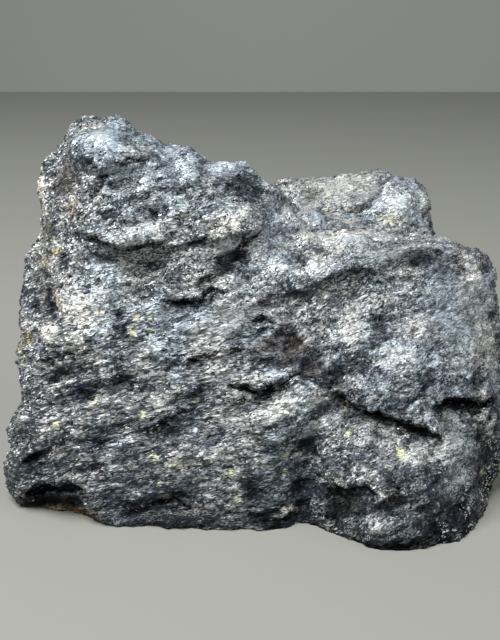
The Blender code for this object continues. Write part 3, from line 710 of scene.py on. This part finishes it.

# --------------------------------------------------------------------------------------- Stains, specks and painted light
# Weathering has left brown, cream and olive stains on the left edge. The gangue shows as a smooth grey-green
# face under the right ledge and as pale yellow-green specks. They are colour alone, and stand no higher. A
# few of these colours are painted light: black painted shade in the cleft over the foot and in the valley's
# mouth, and a painted glint on pale grains at the foot.

# Each with its middle, half its length along the grain and half its width in millimetres, its colour, and how
# strongly it covers the metal.
STAINS_AND_PAINTED_LIGHT = {
    "pale beside the slab": ((29.5, -26.0, 14.4), 2.0, 3.0, (0.60, 0.64, 0.63), 1.0),
    # Painted shade over dark matter in the cleft over the foot.
    "black and painted shade of the cleft": ((-34.0, -24.0, 2.4), 6.4, 1.7, (0.010, 0.011, 0.013), 1.4),
    "pale above the notch": ((1.8, -22.4, 24.0), 3.4, 1.2, (0.60, 0.61, 0.59), 0.35),
    "pale below the notch": ((5.2, -23.6, 20.6), 4.4, 1.7, (0.66, 0.67, 0.64), 0.5),
    "cream band on the head": ((-4.5, -12.6, 47.4), 4.2, 1.9, (0.74, 0.73, 0.66), 0.55),
    "cream face": ((-27.4, -16.6, 33.4), 3.6, 4.2, (0.74, 0.73, 0.68), 0.5),
    "pale on the block": ((22.2, -20.8, 27.2), 3.6, 2.0, (0.46, 0.48, 0.46), 0.5),
    "pale above it": ((15.6, -18.0, 29.6), 3.0, 1.8, (0.52, 0.53, 0.50), 0.4),
    "brown band": ((6.4, -18.6, 27.4), 3.4, 2.0, (0.095, 0.082, 0.072), 0.65),
    "middle of the brown band": ((9.6, -21.2, 24.8), 3.0, 1.2, (0.095, 0.082, 0.072), 0.7),
    "foot of the brown band": ((13.4, -22.3, 22.0), 2.6, 1.1, (0.095, 0.082, 0.072), 0.7),
    "brown cheek": ((-31.9, -5.1, 52.6), 2.6, 3.2, (0.090, 0.078, 0.070), 0.95),
    "tan cheek": ((-30.9, -8.0, 48.9), 1.8, 2.2, (0.30, 0.27, 0.22), 0.7),
    "olive under the cheek": ((-34.5, -6.9, 44.1), 1.3, 1.5, (0.36, 0.33, 0.17), 0.6),
    "gold": ((-33.3, -9.6, 41.4), 1.3, 0.8, (0.52, 0.43, 0.12), 0.7),
    "olive by the gold": ((-35.5, -8.7, 39.3), 1.5, 0.9, (0.30, 0.29, 0.15), 0.6),
    "gold on the left edge": ((-38.8, -12.0, 27.0), 1.3, 0.9, (0.42, 0.36, 0.10), 0.6),
    "olive on the left edge": ((-40.1, -12.2, 24.7), 1.0, 1.3, (0.33, 0.29, 0.11), 0.6),
    "lavender": ((-36.0, -15.6, 27.0), 1.0, 2.1, (0.30, 0.32, 0.40), 0.6),
    "brown left side": ((-36.5, -8.5, 42.0), 4.0, 11.0, (0.20, 0.185, 0.16), 0.45),
    "cream rim": ((-37.0, -2.2, 50.4), 1.0, 5.4, (0.74, 0.72, 0.62), 0.95),
    "lower end of the rim": ((-37.6, -4.8, 44.8), 0.9, 3.0, (0.78, 0.75, 0.64), 0.9),
    "cream line": ((-32.6, -14.8, 34.6), 0.8, 2.6, (0.62, 0.58, 0.46), 0.7),
    "cream patch": ((-34.4, -15.3, 29.6), 1.6, 1.4, (0.62, 0.60, 0.52), 0.6),
    "cream edge": ((-39.2, -10.6, 29.6), 0.9, 2.0, (0.56, 0.55, 0.49), 0.6),
    "grey-green face": ((33.6, -25.8, 12.6), 3.6, 4.2, (0.235, 0.275, 0.270), 0.95),
    "top of the grey-green face": ((32.0, -23.7, 16.6), 3.0, 2.4, (0.250, 0.285, 0.282), 0.9),
    "foot of the grey-green face": ((31.8, -29.2, 8.7), 2.2, 2.2, (0.215, 0.250, 0.245), 0.8),
    "brown middle": ((3.1, -19.0, 28.3), 4.0, 2.0, (0.11, 0.095, 0.085), 0.6),
    "brown lip": ((14.6, -22.4, 19.6), 3.8, 0.9, (0.10, 0.078, 0.060), 0.7),
    "brown side of the valley": ((-1.4, -25.5, 16.1), 1.6, 4.2, (0.26, 0.22, 0.18), 0.4),
    "dull side of the toe": ((14.1, -29.4, 4.6), 4.2, 2.2, (0.055, 0.060, 0.052), 0.7),
    "ochre under the foot": ((-29.6, -24.1, 0.1), 3.4, 1.2, (0.50, 0.29, 0.12), 1.5),
    "tan under the foot": ((-35.6, -23.1, 0.0), 4.0, 0.7, (0.66, 0.52, 0.36), 1.5),
    "rust": ((39.8, -21.5, 0.8), 0.9, 1.1, (0.42, 0.20, 0.08), 0.8),
    # Pale grains, painted brighter as a glint.
    "pale grains and painted glint at the foot": ((5.1, -27.8, 2.6), 1.6, 0.7, (0.90, 0.88, 0.80), 1.1),
    "green on the near knob": ((24.3, 2.1, 43.5), 2.6, 1.2, (0.50, 0.54, 0.45), 0.4),
    "green knob": ((27.0, 8.4, 45.6), 3.6, 2.0, (0.74, 0.80, 0.76), 0.6),
    "beige far knob": ((15.4, 19.7, 45.6), 10.0, 5.0, (0.36, 0.37, 0.34), 0.75),
    "cream saddle": ((14.3, -7.0, 42.7), 5.8, 2.2, (0.52, 0.51, 0.44), 0.25),
    # Painted shade in the valley's mouth.
    "painted shade at the valley mouth": ((3.4, -29.3, 0.6), 4.0, 1.1, (0.012, 0.013, 0.015), 0.8),
}
SPECK_COLOUR = (0.60, 0.61, 0.43)
SPECK_STRENGTH = 0.85
SPECKS = [  # the middle of each in millimetres, then half its length and half its width
    ((-17.3, -17.3, 32.9), 0.9, 0.8),
    ((-19.4, -17.4, 32.4), 0.5, 0.7),
    ((-20.1, -18.2, 30.6), 0.7, 1.0),
    ((-17.4, -18.3, 30.5), 0.5, 0.5),
    ((-18.5, -23.7, 17.9), 0.8, 0.7),
    ((-16.4, -26.3, 11.7), 0.9, 0.6),
    ((-13.4, -26.9, 10.7), 0.7, 0.7),
    ((-4.2, -27.8, 9.2), 1.0, 0.6),
    ((-2.9, -28.7, 5.7), 0.8, 0.8),
    ((-1.0, -28.8, 3.7), 0.8, 0.7),
    ((4.9, -26.2, 11.9), 0.6, 0.5),
    ((38.0, -22.8, 7.0), 0.7, 0.8),
    ((-33.0, -22.6, 15.8), 0.7, 0.7),
    ((-26.1, -22.4, 19.7), 0.5, 0.7),
    ((-15.6, -27.6, 7.5), 0.5, 0.8),
    ((4.8, -26.4, 9.0), 0.5, 0.7),
    ((-9.9, -22.8, 19.8), 0.7, 0.4),
    ((15.3, -24.3, 15.1), 0.8, 0.5),
    ((23.5, -27.2, 13.0), 0.8, 0.6),
    ((12.9, -28.8, 8.5), 0.8, 0.4),
    ((23.6, 2.4, 44.2), 1.1, 0.7),
    ((-12.3, -26.9, 10.2), 0.5, 0.6),
]
SPECKS_BEHIND = 44
STAINS_BEHIND = 9
COLOURS_BEHIND = ((0.30, 0.27, 0.22), (0.13, 0.10, 0.08), (0.36, 0.33, 0.20))
COVER_BEHIND = 0.5


def paint_stains_and_painted_light(piece, stains_and_painted_light):
    """Leaves on the piece the colour of the stain that each point lies in, painted shade and glint among
    them, with its strength as alpha.
    """
    points = points_of(piece)
    found = np.zeros((len(points), 4))
    for centre, along, across, colour, cover in stains_and_painted_light:
        strength = (PATCH_STRENGTH - reach_of(points, centre, along, across)) * cover
        inside = strength > found[:, 3]
        found[inside, :3] = colour
        found[inside, 3] = strength[inside]
    layer = piece.data.attributes.new("stain_and_painted_light", "FLOAT_COLOR", "POINT")
    layer.data.foreach_set("color", found.astype(np.float32).ravel())


for count in range(SPECKS_BEHIND):
    SPECKS.append((spots[chance.integers(len(spots))], chance.uniform(0.5, 1.0), chance.uniform(0.4, 0.8)))
for count in range(STAINS_BEHIND):
    colour = COLOURS_BEHIND[count % len(COLOURS_BEHIND)]
    along, across = chance.uniform(2.0, 5.0), chance.uniform(1.2, 3.0)
    STAINS_AND_PAINTED_LIGHT["behind " + str(count)] = (spots[chance.integers(len(spots))], along, across, colour, COVER_BEHIND)
specks = [(*speck, SPECK_COLOUR, SPECK_STRENGTH) for speck in SPECKS]
paint_stains_and_painted_light(stone, [*STAINS_AND_PAINTED_LIGHT.values(), *specks])

# Where the stone broke across its crystals, which are coarser there, as middle, half length and half width.
COARSE = {
    "right flank": ((41.5, -17.0, 6.0), 4.2, 8.5),
    "low on the flank": ((38.6, -22.4, 3.7), 3.2, 4.5),
    "foot of the flank": ((34.2, -28.8, 2.4), 4.2, 3.6),
    "right of the toe": ((31.0, -32.5, 1.5), 2.6, 2.4),
}
paint_patches(stone, "coarse", COARSE)

# --------------------------------------------------------------------------------------- The ore's finish
# Siegenite is a bright steel grey where it is fresh, and tarnishes darker and a little blue. Every grain is a
# flat cleavage of its own that shines at its own angle, and the hollows between lenses hold black fines, with
# painted shade laid over them, as in the cracks and about the foot.

GREY_METAL = (0.70, 0.71, 0.685)
BLUE_METAL = (0.60, 0.69, 0.76)
TARNISH = (0.026, 0.037, 0.051)
GLINT = (0.92, 0.93, 0.90)

# How long the grains are along the lenses, across them and through them, in millimetres. The first of a pair
# is for where the stone split along its lenses, and the second for where it shows an even grain.
FINE_GRAINS = ((0.50, 0.32, 0.17), (0.32, 0.28, 0.21))
FLAKES = ((1.25, 0.85, 0.40), (0.85, 0.75, 0.55))
STREAKS = ((2.3, 1.3, 0.55), (1.8, 1.4, 1.1))
PLATES = (2.4, 1.7, 1.0)
LENSES = (2.2, 1.5, 0.5)

ore = bpy.data.materials.new("siegenite_ore")
ore.use_nodes = True
tree = ore.node_tree
shader = tree.nodes["Principled BSDF"]


def mixed(tree, amount, first, second, blend="MIX"):
    """The two colours mixed by amount."""
    made = node(tree, "ShaderNodeMix", data_type="RGBA", blend_type=blend)
    for name, value in (("Factor_Float", amount), ("A_Color", first), ("B_Color", second)):
        socket = next(each for each in made.inputs if each.identifier == name)
        if isinstance(value, bpy.types.NodeSocket):
            tree.links.new(value, socket)
        elif name == "Factor_Float":
            socket.default_value = value
        else:
            socket.default_value = (*value, 1)
    return next(each for each in made.outputs if each.identifier == "Result_Color")


def grey_of(tree, value):
    return node(tree, "ShaderNodeCombineXYZ", {0: value, 1: value, 2: value}).outputs[0]


def layer_of(tree, name):
    """What an attribute of the mesh holds at each point."""
    return node(tree, "ShaderNodeAttribute", attribute_name=name).outputs["Fac"]


def cell_colours(tree, place, lengths):
    """A colour of its own for each grain, of those lengths in place."""
    return cells_of(tree, stretched(tree, place, lengths))["Color"]


def streaks_of(tree, place, lengths):
    """Light and dark streaks of those lengths in place."""
    return grey_of(tree, noise_of(tree, stretched(tree, place, lengths), 1.0, 3.0, 0.6))


def swung(tree, total, value, swing):
    """total, moved up or down by up to half of swing as value goes from 0 to 1."""
    return plus(tree, total, math_of(tree, "SUBTRACT", value, 0.5), swing)


place = scaled(tree, node(tree, "ShaderNodeTexCoord").outputs["Object"], 1 / MM)
across, depth_in, above_foot = parts_of(tree, place)

# The lines of the grain wander a little.
WOBBLE = (0.5, 0.35, 0.3)  # mm along the lenses, across them and through them
WOBBLE_SIZE = 2.4  # mm from one turn to the next
wobble = {"Vector": place, "Scale": 1 / WOBBLE_SIZE, "Detail": 2.0}
wobble = node(tree, "ShaderNodeTexNoise", wobble, normalize=False).outputs["Color"]
wobble = vector_of(tree, "MULTIPLY", wobble, WOBBLE)
grain = vector_of(tree, "ADD", grain_place(tree, place), wobble)
ragged = noise_of(tree, stretched(tree, grain, (1.4, 1.1, 0.8)), 1.6, 3.0, 0.6)
shine = noise_of(tree, stretched(tree, grain, (1.6, 1.2, 0.9)), 4.0, 3.0, 0.55)
even = ramp_of(tree, plus(tree, evenness_of(tree, place), ragged, 0.6), 0.35, 0.65)
fine_colour = mixed(tree, even, *(cell_colours(tree, grain, lengths) for lengths in FINE_GRAINS))
flake_colour = mixed(tree, even, *(cell_colours(tree, grain, lengths) for lengths in FLAKES))
plate_colour = cell_colours(tree, grain, PLATES)
fine, flake, plate = (parts_of(tree, colour) for colour in (fine_colour, flake_colour, plate_colour))
streak = parts_of(tree, mixed(tree, even, *(streaks_of(tree, grain, lengths) for lengths in STREAKS)))[0]
seams = cells_of(tree, stretched(tree, grain, LENSES), feature="DISTANCE_TO_EDGE")["Distance"]



def patch_of(tree, name, raggedness, low, high):
    """How strong the patches of that name are at each point, with ragged edges."""
    return ramp_of(tree, plus(tree, layer_of(tree, name), ragged, raggedness), low, high)


relief = layer_of(tree, "relief")
# The fresh patches carry painted light, and the tarnished ones painted shade, besides the metal's own fresh
# and tarnished colour.
fresh_and_painted_light_patch = patch_of(tree, "fresh", 0.7, 0.15, 1.0)
tarnish_and_painted_shade_patch = patch_of(tree, "tarnish", 0.7, 0.15, 1.0)

# The lower right side broke across its crystals, which are black there and flash one by one. The flashing
# crystals are made more metallic and also painted near white, so their glint is partly painted.
coarse = patch_of(tree, "coarse", 0.9, 0.25, 1.1)
large_glint = ramp_of(tree, flake[0], 0.965, 0.985)
small_glint = ramp_of(tree, fine[0], 0.84, 0.92)
flash = math_of(tree, "MULTIPLY", coarse, math_of(tree, "MAXIMUM", large_glint, small_glint))
flash = math_of(tree, "MULTIPLY", flash, ramp_of(tree, shine, -0.15, 0.25))

# How much of each grain is fresh bright metal: more in the fresh patches, some of which are painted light,
# and more where the stone is raised, as painted light; less towards the foot, as painted shade. The grains
# differ less behind the front, and where the break ran smooth.
bright = 0.34
for layer, share in ((shine, 0.45), (streak, 0.55), (relief, 0.25)):
    bright = plus(tree, bright, layer, share)
fine_swing = ramp_of(tree, depth_in, -12.0, 2.0, 1.04, 0.78)
for value, swing in ((fine[0], fine_swing), (flake[0], 0.5), (plate[0], 0.25)):
    bright = swung(tree, bright, value, swing)
SMOOTH_BRIGHTNESS = 0.36
calm = ramp_of(tree, layer_of(tree, "smooth"), *PATCH_FADE, 1.0, 0.5)
bright = plus(tree, SMOOTH_BRIGHTNESS, math_of(tree, "SUBTRACT", bright, SMOOTH_BRIGHTNESS), calm)
for layer, share in ((fresh_and_painted_light_patch, 0.37), (tarnish_and_painted_shade_patch, -0.28), (coarse, -0.45), (flash, 1.6)):
    bright = plus(tree, bright, layer, share)
# Painted shade: the metal darkens towards the foot.
bright = math_of(tree, "SUBTRACT", bright, ramp_of(tree, above_foot, 26.0, 2.0, 0.0, 0.26))
fresh = ramp_of(tree, bright, -0.1, 1.15)

# How blue the metal is: more towards the top and the right, less on the left edge and along the top of the
# right side.
tint = plus(tree, math_of(tree, "SUBTRACT", noise_of(tree, place, 9.0), 0.36), above_foot, 0.010)
tint = math_of(tree, "SUBTRACT", tint, ramp_of(tree, across, -22.0, -34.0, 0.0, 0.62))
tint = math_of(tree, "ADD", tint, ramp_of(tree, across, 4.0, 14.0, 0.0, 0.08))
high = math_of(tree, "MULTIPLY", ramp_of(tree, across, -4.0, 8.0), ramp_of(tree, above_foot, 36.0, 42.0))
tint = plus(tree, tint, high, -0.28)
metal_colour = mixed(tree, ramp_of(tree, tint, -0.4, 0.4), GREY_METAL, BLUE_METAL)
steel = mixed(tree, fresh, TARNISH, metal_colour)

# Stains and specks lie over the metal, and keep its grain; among them lie painted shade in the cleft and the
# valley's mouth, and a painted glint at the foot.
stain_and_painted_light = node(tree, "ShaderNodeAttribute", attribute_name="stain_and_painted_light")
stain_and_painted_light_cover = plus(tree, stain_and_painted_light.outputs["Alpha"], ragged, 0.5)
for value in (fine[2], flake[2]):
    stain_and_painted_light_cover = swung(tree, stain_and_painted_light_cover, value, 0.5)
stain_and_painted_light_cover = ramp_of(tree, stain_and_painted_light_cover, 0.30, 0.95)
grained = grey_of(tree, plus(tree, 0.55, fine[0], 0.9))
stain_and_painted_light_colour = mixed(tree, 1.0, stain_and_painted_light.outputs["Color"], grained, "MULTIPLY")
steel = mixed(tree, math_of(tree, "MULTIPLY", stain_and_painted_light_cover, 0.88), steel, stain_and_painted_light_colour)

# The colour darkens and shines less in the hollows, the cracks, the tarnished patches and the seams, and
# about the foot: black fines lie in the seams, painted shade lies in the cracks and about the foot, and
# painted shade lies over the fines in the hollows and over the tarnish in the tarnished patches.
broken_crack = plus(tree, plus(tree, layer_of(tree, "crack"), ragged, 0.3), fine[2], -0.4)
open_seams = plus(tree, seams, streak, -0.12)
clear_of_fines_and_painted_shade = ramp_of(tree, relief, -0.65, 0.0, 0.30, 1.0)
for share in (
    ramp_of(tree, broken_crack, 0.0, 0.9, 1.0, 0.15),
    plus(tree, 1.0, tarnish_and_painted_shade_patch, -0.2),
    ramp_of(tree, open_seams, 0.0, 0.10, 0.35, 1.0),
    ramp_of(tree, above_foot, 0.0, 10.0, 0.72, 1.0),
    ramp_of(tree, above_foot, 0.3, 2.8, 0.6, 1.0),
):
    clear_of_fines_and_painted_shade = math_of(tree, "MULTIPLY", clear_of_fines_and_painted_shade, share)
steel = mixed(tree, 1.0, steel, grey_of(tree, clear_of_fines_and_painted_shade), "MULTIPLY")
# Painted glint: the flashing crystals take a near-white colour.
steel = mixed(tree, flash, steel, GLINT)
tree.links.new(steel, shader.inputs["Base Color"])

# Every grain, flake and plate leans its own way, the fine ones less where the break ran smooth.
facing = node(tree, "ShaderNodeNewGeometry").outputs["Normal"]
for colour, amount in ((fine_colour, calm), (flake_colour, 0.65), (plate_colour, 0.45)):
    lean = scaled(tree, vector_of(tree, "SUBTRACT", colour, MIDDLE_COLOUR), amount)
    facing = vector_of(tree, "ADD", facing, lean)
tree.links.new(vector_of(tree, "NORMALIZE", facing), shader.inputs["Normal"])

rough = ramp_of(tree, fine[1], 0.0, 1.0, 0.34, 0.62)
rough = math_of(tree, "MULTIPLY", rough, plus(tree, 1.0, coarse, -0.5))
tree.links.new(rough, shader.inputs["Roughness"])
metal = math_of(tree, "MULTIPLY", math_of(tree, "MULTIPLY", fresh, 0.6), clear_of_fines_and_painted_shade)
metal = math_of(tree, "MULTIPLY", metal, math_of(tree, "SUBTRACT", 1.0, stain_and_painted_light_cover))
metal = math_of(tree, "MULTIPLY_ADD", flash, 0.5, metal, clamp=True)
tree.links.new(metal, shader.inputs["Metallic"])
tree.links.new(math_of(tree, "MULTIPLY", clear_of_fines_and_painted_shade, 0.5), shader.inputs["Specular IOR Level"])

stone.data.materials.clear()
stone.data.materials.append(ore)

# --------------------------------------------------------------------------------------- The table
# A plain matt table top, 1 m across, that the stone stands on unheld, and a plain wall that stands a good way
# behind it. Neither is part of the object.

TABLE_COLOUR = (0.230, 0.233, 0.212)
WALL_COLOUR = (0.655, 0.665, 0.60)

bpy.ops.mesh.primitive_plane_add(size=1.0, location=(0, 0.03, 0))
table = bpy.context.object
table.name = "table"
bpy.ops.mesh.primitive_plane_add(size=3.0, location=(0, 1.2, 0), rotation=(math.pi / 2, 0, 0))
wall = bpy.context.object
wall.name = "wall"
for plain, colour in ((table, TABLE_COLOUR), (wall, WALL_COLOUR)):
    paint = bpy.data.materials.new("pale_" + plain.name)
    paint.use_nodes = True
    paint.node_tree.nodes["Principled BSDF"].inputs["Base Color"].default_value = (*colour, 1)
    paint.node_tree.nodes["Principled BSDF"].inputs["Roughness"].default_value = 0.6
    plain.data.materials.append(paint)

# --------------------------------------------------------------------------------------- The light
# A soft box on the upper left, a weaker and broader one on the right, and a dim even light from the room all
# round.

ROOM_COLOUR = (0.55, 0.58, 0.60)
ROOM_STRENGTH = 0.25
MIDDLE_HEIGHT = 0.03  # m, the middle of the stone, which both soft boxes face

world = bpy.data.worlds.new("room")
world.use_nodes = True
world.node_tree.nodes["Background"].inputs["Color"].default_value = (*ROOM_COLOUR, 1)
world.node_tree.nodes["Background"].inputs["Strength"].default_value = ROOM_STRENGTH
bpy.context.scene.world = world


def soft_light(name, azimuth, elevation, distance, size, power):
    """A square soft box facing the stone. Azimuth 0 is in front and -90 is on the left."""
    turn, lift = math.radians(azimuth), math.radians(elevation)
    place = (
        distance * math.sin(turn) * math.cos(lift),
        -distance * math.cos(turn) * math.cos(lift),
        distance * math.sin(lift) + MIDDLE_HEIGHT,
    )
    bpy.ops.object.light_add(type="AREA", location=place, rotation=(math.pi / 2 - lift, 0, turn))
    light = bpy.context.object
    light.name = name
    light.data.size = size
    light.data.energy = power


soft_light("key", azimuth=-50, elevation=64, distance=0.55, size=0.34, power=5.9)
soft_light("fill", azimuth=62, elevation=42, distance=0.7, size=0.5, power=2.1)

# --------------------------------------------------------------------------------------- The camera
# The camera stands 0.17 m in front of the stone's middle and a little above the stone, and looks down by 20
# degrees from the level. Its lens is moderately long, so that the near edges don't swell.

LOOKS_DOWN = math.radians(20)

bpy.ops.object.camera_add(location=(-0.00095, -0.1711, 0.088), rotation=(math.pi / 2 - LOOKS_DOWN, 0, 0))
camera = bpy.context.object
camera.data.sensor_width = 36
camera.data.lens = 56.25
camera.data.clip_start = 0.01
bpy.context.scene.camera = camera
bpy.context.scene.view_settings.view_transform = "Standard"
